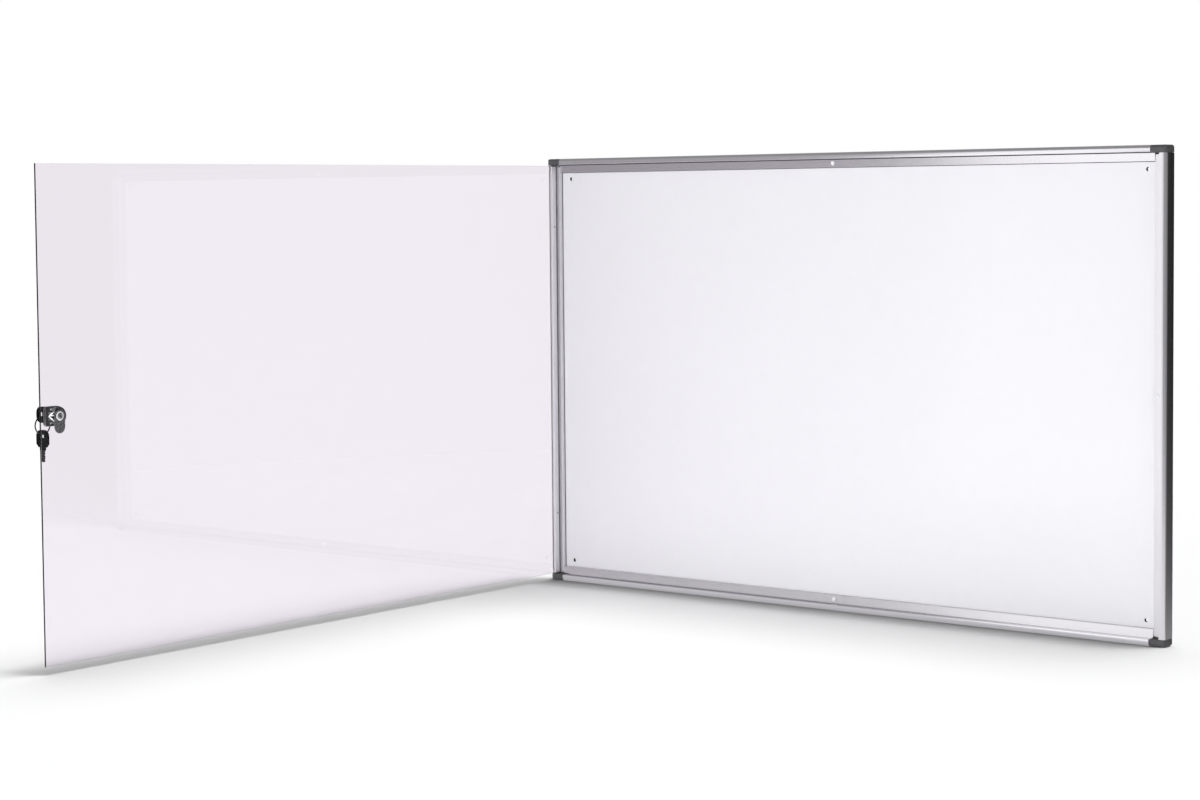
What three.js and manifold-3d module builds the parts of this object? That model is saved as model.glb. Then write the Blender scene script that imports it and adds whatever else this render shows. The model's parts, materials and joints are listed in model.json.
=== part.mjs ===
// Lockable wall notice board: an aluminium frame round a white steel panel, with a clear
// frameless door that swings on a rotating hinge profile and shuts with a cam lock.
// All sizes are millimetres. The board is drawn from its lower left front corner:
// x runs to the right, y runs from the front face back to the wall, z runs up.
// The whole is then moved so that its origin is the middle of the rear face, on the wall.
import * as THREE from 'three';
import { mergeVertices } from 'three/addons/utils/BufferGeometryUtils.js';
import Module from 'manifold-3d';

const wasm = await Module();
wasm.setup();

// Board
const board_width = 1105;
const board_height = 700;
const board_depth = 23.5;

// Frame profile, seen in section
const bar_width = 9.6;
const bar_radius = 5;
const step_depth = 12.2;
const ledge_fall = 1.2;
const ledge_width = 13;
const panel_depth = 18;
const profile_wall = 1.4;
const joint_gap = 0.3;
const slip_gap = 0.1;

// Corner caps
const cap_width = 24.5;
const cap_height = 10.6;
const cap_corner_radius = 4;
const cap_bulge = 1.2;
const spigot_length = 16;
const spigot_gap = 0.5;
const drain_slit = 2.2;

// Sheets between the frame profiles
const panel_thickness = 0.8;
const rear_thickness = 0.5;
const sheet_gap = 0.05;
const sheet_seat = 8.6;
const fixing_radius = 3;
const fixing_inset_x = 36.7;
const fixing_inset_z = 33.3;

// Hinge side
const hinge_lip_start = 14.8;
const hinge_lip_width = 3.2;
const hinge_axis_x = 7.5;
const hinge_axis_y = 5.5;
const trough_clearance = 0.6;
const jaw_length = 14;
const jaw_front = 0.6;
const jaw_back = 8.9;
const jaw_back_radius = 3;
const jaw_mouth_radius = 1;
const pane_slot_start = 3.4;
const hinge_end_gap = 0.5;
const plug_flange = 1.2;
const plug_tongue = 8;
const pivot_radius = 2.5;
const pivot_length = 5;
const bush_wall = 1.6;
const bush_length = 6.5;
const running_gap = 0.3;
const rest_opening_deg = 90;

// Door
const pane_recess = 1.8;
const pane_thickness = 3;
const pane_side_gap = 1.2;
const pane_end_gap = 0.5;
const gasket_thickness = 0.8;
const jaw_screw_radius = 1.7;
const jaw_screw_recess = 0.3;
const jaw_screw_x = 7.6;
const jaw_screw_height_shares = [0.16, 0.84];
const socket_radius = 0.9;
const socket_depth = 1.2;

// Lock, placed from the free edge of the pane and at mid height
const lock_inset = 24;
const barrel_radius = 9.25;
const pane_hole_gap = 0.3;
const bezel_margin = 2.75;
const bezel_radius = barrel_radius + bezel_margin;
const bezel_height = 5.5;
const bezel_chamfer = 1.2;
const lock_pad_thickness = 0.5;
const block_edge_inset = 3.6;
const block_height = 27;
const block_thickness = 4.5;
const block_corner_radius = 4;
const boss_height = 3.9;
const boss_margin = 0.8;
const boss_nose_inset = 12.5;
const boss_shoulder_inset = 19;
const clamp_screw_inset = 14;
const clamp_screw_spread = 9.2;
const clamp_screw_radius = 1.9;
const cylinder_inset = 2.75;
const cylinder_radius = barrel_radius - cylinder_inset;
const cylinder_gap = 0.2;
const keyway_width = 2.6;
const keyway_height = 8.2;
const cam_seat_gap = 0.3;
const cam_thickness = 1.5;
const cam_reach = 23.6;
const cam_tip_radius = 9;
const cam_root_radius = 9;
const tail_margin = 0.5;
const tail_width = cylinder_radius + tail_margin;
const tail_gap = 0.2;
const cam_washer_radius = 6.2;
const cam_washer_thickness = 0.5;
const cam_screw_radius = 4.2;
const cam_screw_height = 1.3;
const cam_slot_height = 44;

// Keys and their ring
const bow_width = 22;
const bow_length = 23.5;
const bow_thickness = 3.5;
const bow_corner_radius = 8.5;
const bow_waist = 13;
const bow_shoulder = 4.7;
const collar_width = 8;
const collar_length = 3.8;
const blade_width = 7.2;
const blade_thickness = 2;
const blade_length = 16.3;
const blade_cut_depth = 1.7;
const blade_cuts = 4;
const bow_slot_inset = 4.8;
const bow_slot_length = 6.2;
const bow_slot_width = 7;
const bow_slot_corner = 1;
const ring_radius = 12.1;
const ring_wire_radius = 0.75;

// Door stops
const bumper_radius = 3.5;
const bumper_height = 1.5;
const bumper_crown_share = 0.45;

// Fineness of round stretches
const corner_steps = 6;
const bore_steps = 32;
const small_steps = 16;
const overrun = 2;

// Places that follow from the sizes above
const frame_width = bar_width + ledge_width;
const hinge_lip_end = hinge_lip_start + hinge_lip_width;
const panel_back = panel_depth + panel_thickness;
const rear_front = board_depth - rear_thickness;
const pane_front = pane_recess;
const pane_back = pane_recess + pane_thickness;
const pane_root = pane_slot_start + running_gap;
const pane_free_edge = board_width - bar_width - pane_side_gap;
const pane_low = cap_height + pane_end_gap;
const pane_high = board_height - pane_low;
const mid_height = board_height / 2;
const lock_x = pane_free_edge - lock_inset;

// Materials
function finish(color, roughness, metalness, opacity = 1) {
  return new THREE.MeshStandardMaterial({
    color,
    roughness,
    metalness,
    opacity,
    transparent: opacity < 1,
  });
}
const aluminium = finish(0xb9b9bd, 0.38, 0.9);
const grey_plastic = finish(0x4c4b4e, 0.55, 0);
const black_plastic = finish(0x111114, 0.4, 0);
const white_enamel = finish(0xeeeef4, 0.25, 0.1);
const fibre_board = finish(0x3e3630, 0.9, 0);
const zinc_sheet = finish(0xa8abad, 0.45, 0.8);
const clear_pane = finish(0xf0eef4, 0.05, 0, 0.25);
const clear_rubber = finish(0xf4f4f6, 0.15, 0, 0.5);
const soft_rubber = finish(0x2a2a2c, 0.8, 0);
const chrome = finish(0x8d8e93, 0.15, 1);
const steel = finish(0xc4c5c8, 0.25, 1);

// Solids. A closed mesh becomes a solid once its shared corners are merged.
function solid(geometry) {
  const bare = geometry.index ? geometry.toNonIndexed() : geometry;
  bare.deleteAttribute('normal');
  bare.deleteAttribute('uv');
  const merged = mergeVertices(bare);
  return new wasm.Manifold(new wasm.Mesh({
    numProp: 3,
    vertProperties: new Float32Array(merged.attributes.position.array),
    triVerts: new Uint32Array(merged.index.array),
  }));
}

function geometry(body) {
  const mesh = body.getMesh();
  const shape = new THREE.BufferGeometry();
  shape.setAttribute('position', new THREE.BufferAttribute(mesh.vertProperties, mesh.numProp));
  shape.setIndex(new THREE.BufferAttribute(mesh.triVerts, 1));
  shape.computeVertexNormals();
  return shape;
}

const along_x = new THREE.Matrix4().makeBasis(
  new THREE.Vector3(0, 1, 0), new THREE.Vector3(0, 0, 1), new THREE.Vector3(1, 0, 0));
const along_y = new THREE.Matrix4().makeBasis(
  new THREE.Vector3(1, 0, 0), new THREE.Vector3(0, 0, 1), new THREE.Vector3(0, -1, 0));
const along_z = new THREE.Matrix4();

// A section carried along one axis. Sections are drawn in (y, z) for x, (x, z) for y
// and (x, y) for z.
function prism(shape, axis, low, high) {
  const bar = new THREE.ExtrudeGeometry(shape, { depth: high - low, bevelEnabled: false });
  if (axis === 'x') {
    bar.applyMatrix4(along_x).translate(low, 0, 0);
  } else if (axis === 'y') {
    bar.applyMatrix4(along_y).translate(0, high, 0);
  } else {
    bar.applyMatrix4(along_z).translate(0, 0, low);
  }
  return solid(bar);
}

function box(low, high) {
  const size = high.map((value, i) => value - low[i]);
  const block = new THREE.BoxGeometry(...size);
  block.translate(...low.map((value, i) => value + size[i] / 2));
  return solid(block);
}

// A flat shape. Its edge runs anticlockwise, and the extrusion then sees to its holes.
function outline(points, holes = []) {
  const edge = points.map(([a, b]) => new THREE.Vector2(a, b));
  const shape = new THREE.Shape(THREE.ShapeUtils.isClockWise(edge) ? edge.reverse() : edge);
  for (const hole of holes) {
    shape.holes.push(new THREE.Path(hole.map(([a, b]) => new THREE.Vector2(a, b))));
  }
  return shape;
}

// Points of a round stretch about (a, b), between two angles in degrees.
function arc(a, b, radius, start, end, steps = corner_steps) {
  const points = [];
  for (let i = 0; i <= steps; i += 1) {
    const angle = THREE.MathUtils.degToRad(start + (end - start) * (i / steps));
    points.push([a + radius * Math.cos(angle), b + radius * Math.sin(angle)]);
  }
  return points;
}

function circle(a, b, radius, steps = bore_steps) {
  return arc(a, b, radius, 0, 360, steps).slice(0, steps);
}

function rod(a, b, radius, axis, low, high, steps = bore_steps) {
  return prism(outline(circle(a, b, radius, steps)), axis, low, high);
}

// A rectangle with round corners, from its low and high corner.
function rounded(a0, b0, a1, b1, radius) {
  return [
    ...arc(a0 + radius, b0 + radius, radius, 180, 270),
    ...arc(a1 - radius, b0 + radius, radius, 270, 360),
    ...arc(a1 - radius, b1 - radius, radius, 0, 90),
    ...arc(a0 + radius, b1 - radius, radius, 90, 180),
  ];
}

// A turned piece: a half section of (radius, height) points, spun about an axis along y.
function turned(points, x, y, z, steps = bore_steps) {
  const spun = new THREE.LatheGeometry(points.map(([r, h]) => new THREE.Vector2(r, h)), steps);
  return solid(spun.translate(x, y, z));
}

// Scene graph
const board = new THREE.Group();
board.position.set(-board_width / 2, -board_depth, -board_height / 2);
const notice_board = new THREE.Group();
notice_board.add(board);

// The door hangs on its axis and is shown open.
const door = new THREE.Group();
door.position.set(hinge_axis_x, hinge_axis_y, 0);
door.rotation.z = -THREE.MathUtils.degToRad(rest_opening_deg);
board.add(door);

function add(group, name, body, material) {
  const mesh = new THREE.Mesh(geometry(body), material);
  mesh.name = name;
  group.add(mesh);
}

// A door piece is drawn shut, in the board's own places, and moved to the hinge axis.
function add_to_door(name, body, material) {
  add(door, name, body.translate([-hinge_axis_x, -hinge_axis_y, 0]), material);
}

// Frame profile in section: u is the distance in from the outer edge, y the depth.
// A rounded front bar, a deep step, a ledge that falls away from the bar, and a lip that
// holds the panel's edge.
function frame_section(place) {
  const seat = frame_width - sheet_seat;
  const ledge_depth = (u) => step_depth - ledge_fall * (frame_width - u) / ledge_width;
  const lip_back = panel_depth - slip_gap;
  const outer = [
    [0, board_depth],
    ...arc(bar_radius, bar_radius, bar_radius, 180, 270),
    [bar_width, 0],
    [bar_width, ledge_depth(bar_width)],
    [frame_width, step_depth],
    [frame_width, lip_back],
    [seat, lip_back],
    [seat, board_depth],
  ];
  const bar_chamber = [
    [profile_wall, board_depth - profile_wall],
    ...arc(bar_radius, bar_radius, bar_radius - profile_wall, 180, 270),
    [bar_width - profile_wall, profile_wall],
    [bar_width - profile_wall, panel_depth],
    [seat - profile_wall, panel_depth],
    [seat - profile_wall, board_depth - profile_wall],
  ];
  const chamber_start = bar_width + profile_wall / 2;
  const chamber_end = frame_width - profile_wall;
  const ledge_chamber = [
    [chamber_start, ledge_depth(chamber_start) + profile_wall],
    [chamber_end, ledge_depth(chamber_end) + profile_wall],
    [chamber_end, lip_back - profile_wall],
    [chamber_start, lip_back - profile_wall],
  ];
  const put = (points) => points.map(([u, y]) => place(u, y));
  return outline(put(outer), [put(bar_chamber), put(ledge_chamber)]);
}

// Rails run between the stiles' lips, and their front bars stop at the corner caps.
const rail_start = hinge_lip_end + joint_gap;
const rail_end = board_width - frame_width - joint_gap;

function rail(place, cap_low, cap_high) {
  const left_room = box([0, -overrun, cap_low],
    [cap_width + joint_gap, board_depth + overrun, cap_high]);
  const right_room = box([board_width - cap_width - joint_gap, -overrun, cap_low],
    [board_width, board_depth + overrun, cap_high]);
  return prism(frame_section(place), 'x', rail_start, rail_end)
    .subtract(left_room)
    .subtract(right_room);
}

const cap_room = cap_height + joint_gap;
add(board, 'bottom_rail', rail((u, y) => [y, u], -overrun, cap_room), aluminium);
add(board, 'top_rail', rail((u, y) => [y, board_height - u],
  board_height - cap_room, board_height + overrun), aluminium);

// Stiles stand between the caps. Their ledges stop short, which leaves a drain slit.
const stile_low = cap_room;
const stile_high = board_height - cap_room;

function drain_slits(x_low, x_high) {
  const front = step_depth - ledge_fall - overrun;
  const slit_low = box([x_low, front, stile_low - overrun],
    [x_high, panel_depth, stile_low + drain_slit]);
  const slit_high = box([x_low, front, stile_high - drain_slit],
    [x_high, panel_depth, stile_high + overrun]);
  return slit_low.add(slit_high);
}

// The lock stile has a window in its lip, through which the cam turns behind the ledge.
function lock_stile() {
  const lip_x = board_width - frame_width;
  const window_cut = box(
    [lip_x - overrun, step_depth + profile_wall, mid_height - cam_slot_height / 2],
    [board_width - bar_width, panel_depth, mid_height + cam_slot_height / 2]);
  return prism(frame_section((u, y) => [board_width - u, y]), 'z', stile_low, stile_high)
    .subtract(window_cut)
    .subtract(drain_slits(lip_x - overrun, board_width - bar_width));
}
add(board, 'lock_stile', lock_stile(), aluminium);

// The hinge stile lies behind the turning profile. Its trough is round about the axis,
// and its lip holds the panel's edge as the other ledges do.
function corner_reach(x, y, radius) {
  return Math.hypot(x - hinge_axis_x, y - hinge_axis_y) + radius;
}
const swing_radius = Math.max(
  corner_reach(bar_radius, jaw_front + bar_radius, bar_radius),
  corner_reach(jaw_back_radius, jaw_back - jaw_back_radius, jaw_back_radius),
  corner_reach(jaw_length - jaw_mouth_radius, jaw_front + jaw_mouth_radius, jaw_mouth_radius));
const trough_radius = swing_radius + trough_clearance;
const trough_floor = hinge_axis_y + trough_radius;

function hinge_stile() {
  const seat = hinge_lip_end - sheet_seat + running_gap;
  const lip_back = panel_depth - slip_gap;
  const trough_start = THREE.MathUtils.radToDeg(Math.acos(-hinge_axis_x / trough_radius));
  const outer = [
    [0, board_depth],
    ...arc(hinge_axis_x, hinge_axis_y, trough_radius, trough_start, 90),
    [hinge_lip_start, trough_floor],
    [hinge_lip_start, step_depth],
    [hinge_lip_end, step_depth],
    [hinge_lip_end, lip_back],
    [seat, lip_back],
    [seat, board_depth],
  ];
  const chamber = [
    [profile_wall, trough_floor + profile_wall],
    [seat - profile_wall, trough_floor + profile_wall],
    [seat - profile_wall, board_depth - profile_wall],
    [profile_wall, board_depth - profile_wall],
  ];
  return prism(outline(outer, [chamber]), 'z', stile_low, stile_high)
    .subtract(drain_slits(hinge_lip_start - overrun, hinge_lip_end + overrun));
}
add(board, 'hinge_stile', hinge_stile(), aluminium);

// Corner cap for the lower left corner: round on its front outer edges and its outer
// corner, and bulged where it meets the rail.
function cap_body() {
  const front_edge = (reach) => [
    [0, board_depth],
    ...arc(bar_radius, bar_radius, bar_radius, 180, 270),
    [reach, 0],
    [reach, board_depth],
  ];
  const reach_x = cap_width + overrun;
  const reach_z = cap_height + overrun;
  const side = prism(outline(front_edge(reach_x)), 'z', 0, reach_z);
  const floor_edge = front_edge(reach_z).map(([u, y]) => [y, u]);
  const under = prism(outline(floor_edge), 'x', 0, reach_x);
  const sag = cap_bulge;
  const half = cap_height / 2;
  const bulge_radius = (half * half + sag * sag) / (2 * sag);
  const bulge_angle = THREE.MathUtils.radToDeg(Math.asin(half / bulge_radius));
  const front = [
    ...arc(cap_corner_radius, cap_corner_radius, cap_corner_radius, 180, 270),
    ...arc(cap_width - bulge_radius, half, bulge_radius, -bulge_angle, bulge_angle),
    [0, cap_height],
  ];
  const face = prism(outline(front), 'y', 0, board_depth);
  return side.intersect(under).intersect(face);
}

// Spigots that push into the chambers of the rail and of the stile.
function rail_spigot() {
  const inset = profile_wall + spigot_gap;
  return box([cap_width - cap_bulge - overrun, bar_radius + spigot_gap, inset],
    [cap_width + spigot_length, board_depth - inset, bar_width - inset]);
}

function lock_cap() {
  const inset = profile_wall + spigot_gap;
  const stile_spigot = box([inset, bar_radius + spigot_gap, cap_height - overrun],
    [bar_width - inset, board_depth - inset, cap_height + spigot_length]);
  return cap_body().add(rail_spigot()).add(stile_spigot);
}

// On the hinge side the cap also holds the bush that the pivot turns in.
const bush_outer = pivot_radius + running_gap + bush_wall;
function hinge_cap() {
  const inset = profile_wall + spigot_gap;
  const seat = hinge_lip_end - sheet_seat + running_gap;
  const stile_spigot = box([inset, trough_floor + inset, cap_height - overrun],
    [seat - inset, board_depth - inset, cap_height + spigot_length]);
  const bore = rod(hinge_axis_x, hinge_axis_y, bush_outer + slip_gap, 'z',
    cap_height - bush_length - slip_gap, cap_height + overrun);
  return cap_body().add(rail_spigot()).add(stile_spigot).subtract(bore);
}

function bush() {
  const ring = outline(circle(hinge_axis_x, hinge_axis_y, bush_outer),
    [circle(hinge_axis_x, hinge_axis_y, pivot_radius + running_gap)]);
  return prism(ring, 'z', cap_height - bush_length, cap_height);
}

// Mirror images about the board's middle height and middle width.
const to_top = (body) => body.mirror([0, 0, 1]).translate([0, 0, board_height]);
const to_right = (body) => body.mirror([1, 0, 0]).translate([board_width, 0, 0]);

add(board, 'cap_bottom_left', hinge_cap(), grey_plastic);
add(board, 'cap_top_left', to_top(hinge_cap()), grey_plastic);
add(board, 'cap_bottom_right', to_right(lock_cap()), grey_plastic);
add(board, 'cap_top_right', to_right(to_top(lock_cap())), grey_plastic);
add(board, 'hinge_bush_bottom', bush(), black_plastic);
add(board, 'hinge_bush_top', to_top(bush()), black_plastic);

// Sheets: white panel in front, board in the middle, zinc sheet on the wall side.
// Each has a hole near its corners for the wall screws.
const sheet_low_x = hinge_lip_end - sheet_seat + running_gap + slip_gap;
const sheet_high_x = board_width - frame_width + sheet_seat - slip_gap;
const sheet_low_z = frame_width - sheet_seat + slip_gap;

function sheet(front, back) {
  const holes = [];
  for (const x of [fixing_inset_x, board_width - fixing_inset_x]) {
    for (const z of [fixing_inset_z, board_height - fixing_inset_z]) {
      holes.push(circle(x, z, fixing_radius, small_steps));
    }
  }
  const edge = [
    [sheet_low_x, sheet_low_z],
    [sheet_high_x, sheet_low_z],
    [sheet_high_x, board_height - sheet_low_z],
    [sheet_low_x, board_height - sheet_low_z],
  ];
  return prism(outline(edge, holes), 'y', front, back);
}
add(board, 'display_panel', sheet(panel_depth, panel_back), white_enamel);
add(board, 'core_board', sheet(panel_back + sheet_gap, rear_front - sheet_gap), fibre_board);
add(board, 'rear_sheet', sheet(rear_front, board_depth), zinc_sheet);

// Clear stops on the ledges, at the middle of the three sides that the door shuts on.
// Each is drawn for the bottom rail, leaning with the ledge, and turned to its own side.
const ledge_slope_deg = THREE.MathUtils.radToDeg(Math.atan(ledge_fall / ledge_width));
function bumper(x, z, turn) {
  const crown = bumper_height * bumper_crown_share;
  const half_section = [
    [0, 0],
    [bumper_radius, 0],
    [bumper_radius, bumper_height - crown],
    ...arc(0, bumper_height - crown, 1, 0, 90).slice(1, -1)
      .map(([r, h]) => [r * bumper_radius,
        bumper_height - crown + (h - bumper_height + crown) * crown]),
    [0, bumper_height],
  ];
  const dome = turned(half_section, 0, 0, 0, small_steps);
  return dome.rotate([180 - ledge_slope_deg, 0, 0])
    .rotate([0, turn, 0])
    .translate([x, step_depth - ledge_fall / 2 - sheet_gap, z]);
}
const ledge_middle = bar_width + ledge_width / 2;
add(board, 'bumper_top', bumper(board_width / 2, board_height - ledge_middle, 180), clear_rubber);
add(board, 'bumper_bottom', bumper(board_width / 2, ledge_middle, 0), clear_rubber);
add(board, 'bumper_lock_side', bumper(board_width - ledge_middle, mid_height, -90), clear_rubber);

// Hinge profile, drawn shut: a spine with two jaws that grip the pane.
const hinge_low = cap_height + hinge_end_gap + plug_flange;
const hinge_high = board_height - hinge_low;
const slot_front = pane_front - slip_gap;
const slot_back = pane_back + gasket_thickness + slip_gap;

function jaw_outline() {
  const far = jaw_length - jaw_mouth_radius;
  return [
    ...arc(bar_radius, jaw_front + bar_radius, bar_radius, 180, 270),
    ...arc(far, jaw_front + jaw_mouth_radius, jaw_mouth_radius, 270, 360),
    ...arc(far, jaw_back - jaw_mouth_radius, jaw_mouth_radius, 0, 90),
    ...arc(jaw_back_radius, jaw_back - jaw_back_radius, jaw_back_radius, 90, 180),
  ];
}

const jaw_screw_heights = jaw_screw_height_shares.map((share) => share * board_height);

function hinge_profile() {
  const slot = box([pane_slot_start, slot_front, hinge_low - overrun],
    [jaw_length + overrun, slot_back, hinge_high + overrun]);
  let body = prism(outline(jaw_outline()), 'z', hinge_low, hinge_high).subtract(slot);
  for (const height of jaw_screw_heights) {
    body = body.subtract(rod(jaw_screw_x, height, jaw_screw_radius + slip_gap, 'y',
      slot_back - slip_gap, jaw_back + overrun, small_steps));
  }
  return body;
}
add_to_door('hinge_profile', hinge_profile(), aluminium);

// End plugs close the profile with a tongue between its jaws, and carry the pivots.
function hinge_plug() {
  const flange_low = hinge_low - plug_flange;
  const flange = prism(outline(jaw_outline()), 'z', flange_low, hinge_low - sheet_gap);
  const tongue = box(
    [pane_slot_start + slip_gap, slot_front + slip_gap, hinge_low - plug_flange / 2],
    [jaw_length - slip_gap, slot_back - slip_gap, hinge_low + plug_tongue]);
  const pivot = rod(hinge_axis_x, hinge_axis_y, pivot_radius, 'z',
    flange_low - hinge_end_gap - pivot_length, hinge_low - plug_flange / 2);
  return flange.add(tongue).add(pivot);
}
add_to_door('hinge_plug_bottom', hinge_plug(), black_plastic);
add_to_door('hinge_plug_top', to_top(hinge_plug()), black_plastic);

// Clear pane, notched round the plugs, with a hole for the lock near its free edge.
const notch_low = hinge_low + plug_tongue + running_gap;
const notch_high = board_height - notch_low;
function pane() {
  const notch_x = jaw_length + running_gap;
  const edge = [
    [pane_root, notch_low],
    [notch_x, notch_low],
    [notch_x, pane_low],
    [pane_free_edge, pane_low],
    [pane_free_edge, pane_high],
    [notch_x, pane_high],
    [notch_x, notch_high],
    [pane_root, notch_high],
  ];
  const lock_hole = circle(lock_x, mid_height, barrel_radius + pane_hole_gap);
  return prism(outline(edge, [lock_hole]), 'y', pane_front, pane_back);
}
add_to_door('door_pane', pane(), clear_pane);

// Gasket strip between the pane and the inner jaw, pressed by two socket screws.
add_to_door('pane_gasket', box([pane_root, pane_back + sheet_gap, notch_low],
  [jaw_length, pane_back + gasket_thickness, notch_high]), soft_rubber);

function socket_screw(x, z, radius, front, back) {
  const socket = rod(x, z, socket_radius, 'y', back - socket_depth, back + overrun, 6);
  return rod(x, z, radius, 'y', front, back, small_steps).subtract(socket);
}

jaw_screw_heights.forEach((height, i) => {
  add_to_door(`jaw_screw_${i + 1}`, socket_screw(jaw_screw_x, height,
    jaw_screw_radius, slot_back, jaw_back - jaw_screw_recess), steel);
});

// Lock body: a turned bezel on the outer face and a barrel through the pane.
const bezel_back = pane_front - lock_pad_thickness;
const bezel_front = bezel_back - bezel_height;
const block_front = pane_back + lock_pad_thickness;
const block_back = block_front + block_thickness;
const boss_back = block_back + boss_height;

function lock_body() {
  const bore = cylinder_radius + cylinder_gap;
  const half_section = [
    [bore, bezel_front],
    [bezel_radius - bezel_chamfer, bezel_front],
    [bezel_radius, bezel_front + bezel_chamfer],
    [bezel_radius, bezel_back],
    [barrel_radius, bezel_back],
    [barrel_radius, boss_back],
    [bore, boss_back],
    [bore, bezel_front],
  ];
  return turned(half_section, lock_x, 0, mid_height);
}
add_to_door('lock_body', lock_body(), chrome);

// Inner block: a thin clamp plate, round about the cylinder, that passes over the ledge,
// and a raised boss that comes to a nose just short of the ledge.
const block_edge = pane_free_edge - block_edge_inset;

function block_outline(margin) {
  const half = block_height / 2 - margin;
  const corner = block_corner_radius - margin;
  const far = block_edge - margin - corner;
  return [
    ...arc(lock_x, mid_height, half, 90, 270, 2 * corner_steps),
    ...arc(far, mid_height - half + corner, corner, 270, 360),
    ...arc(far, mid_height + half - corner, corner, 0, 90),
  ];
}

function lock_block() {
  const half = block_height / 2 - boss_margin;
  const shoulder = pane_free_edge - boss_shoulder_inset;
  const boss = [
    ...arc(lock_x, mid_height, half, 90, 270, 2 * corner_steps),
    [shoulder, mid_height - half],
    [pane_free_edge - boss_nose_inset, mid_height],
    [shoulder, mid_height + half],
  ];
  const bore = rod(lock_x, mid_height, barrel_radius + slip_gap, 'y',
    block_front - overrun, boss_back + overrun);
  let body = prism(outline(block_outline(0)), 'y', block_front, block_back)
    .add(prism(outline(boss), 'y', block_back - overrun, boss_back))
    .subtract(bore);
  for (const side of [-1, 1]) {
    body = body.subtract(rod(pane_free_edge - clamp_screw_inset,
      mid_height + side * clamp_screw_spread, clamp_screw_radius + slip_gap, 'y',
      block_front - overrun, block_back + overrun, small_steps));
  }
  return body;
}
add_to_door('lock_block', lock_block(), chrome);

[-1, 1].forEach((side, i) => {
  add_to_door(`clamp_screw_${i + 1}`, socket_screw(pane_free_edge - clamp_screw_inset,
    mid_height + side * clamp_screw_spread, clamp_screw_radius,
    block_front, block_back - jaw_screw_recess), steel);
});

// Pads that keep the metal off the pane.
const pad_hole = barrel_radius + pane_hole_gap;
add_to_door('lock_pad_outer', prism(outline(
  circle(lock_x, mid_height, bezel_radius - pane_hole_gap),
  [circle(lock_x, mid_height, pad_hole)]),
'y', bezel_back + sheet_gap, pane_front - sheet_gap), soft_rubber);
add_to_door('lock_pad_inner', prism(outline(
  block_outline(pane_hole_gap), [circle(lock_x, mid_height, pad_hole)]),
'y', pane_back + sheet_gap, block_front - sheet_gap), soft_rubber);

// What turns with the key. The key's collar stops just short of the cylinder's face.
const collar_face = bezel_front - running_gap;
const blade_tip = collar_face + blade_length;
const cam_front = boss_back + cam_seat_gap;
const cam_back = cam_front + cam_thickness;

function lock_cylinder() {
  const half_tail = tail_width / 2;
  const tail = box([lock_x - half_tail, boss_back - overrun, mid_height - half_tail],
    [lock_x + half_tail, cam_back - sheet_gap, mid_height + half_tail]);
  const keyway = box(
    [lock_x - keyway_width / 2, bezel_front - overrun, mid_height - keyway_height / 2],
    [lock_x + keyway_width / 2, blade_tip + running_gap, mid_height + keyway_height / 2]);
  return rod(lock_x, mid_height, cylinder_radius, 'y', bezel_front, cam_front - sheet_gap)
    .add(tail)
    .subtract(keyway);
}
add_to_door('lock_cylinder', lock_cylinder(), steel);

// The cam hangs down when unlocked. A quarter turn puts it behind the lock stile's ledge.
function lock_cam() {
  const tip_z = mid_height - cam_reach + cam_tip_radius;
  const plate = outline([
    ...arc(lock_x, mid_height, cam_root_radius, 0, 180, 2 * corner_steps),
    ...arc(lock_x, tip_z, cam_tip_radius, 180, 360, 2 * corner_steps),
  ]);
  const half_hole = tail_width / 2 + tail_gap;
  const hole = box([lock_x - half_hole, cam_front - overrun, mid_height - half_hole],
    [lock_x + half_hole, cam_back + overrun, mid_height + half_hole]);
  return prism(plate, 'y', cam_front, cam_back).subtract(hole);
}
add_to_door('lock_cam', lock_cam(), chrome);

const washer_back = cam_back + cam_washer_thickness;
const screw_shank = cam_screw_radius / 2;
add_to_door('cam_washer', prism(outline(
  circle(lock_x, mid_height, cam_washer_radius, small_steps),
  [circle(lock_x, mid_height, screw_shank + slip_gap, small_steps)]),
'y', cam_back + sheet_gap, washer_back), steel);

function cam_screw() {
  const crown = cam_screw_height / 2;
  const head = turned([
    [0, 0],
    [cam_screw_radius, 0],
    [cam_screw_radius, crown],
    [cam_screw_radius - crown, cam_screw_height],
    [0, cam_screw_height],
  ], lock_x, washer_back + sheet_gap, mid_height, small_steps);
  const slot = box(
    [lock_x - socket_radius / 2, washer_back + crown, mid_height - cam_screw_radius],
    [lock_x + socket_radius / 2, washer_back + cam_screw_height + overrun,
      mid_height + cam_screw_radius]);
  return head.subtract(slot);
}
add_to_door('cam_screw', cam_screw(), steel);

// Keys are drawn once, bow up and blade down, in the (x, z) plane, with the ring's wire
// through the slot of the bow at the origin. A lift raises the key against the wire.
const wire_room = ring_wire_radius + running_gap;
const hanging_lift = bow_slot_inset + wire_room;
const pushed_lift = bow_slot_inset + bow_slot_length - wire_room;
const sideways_play = bow_slot_width / 2 - wire_room;

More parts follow.
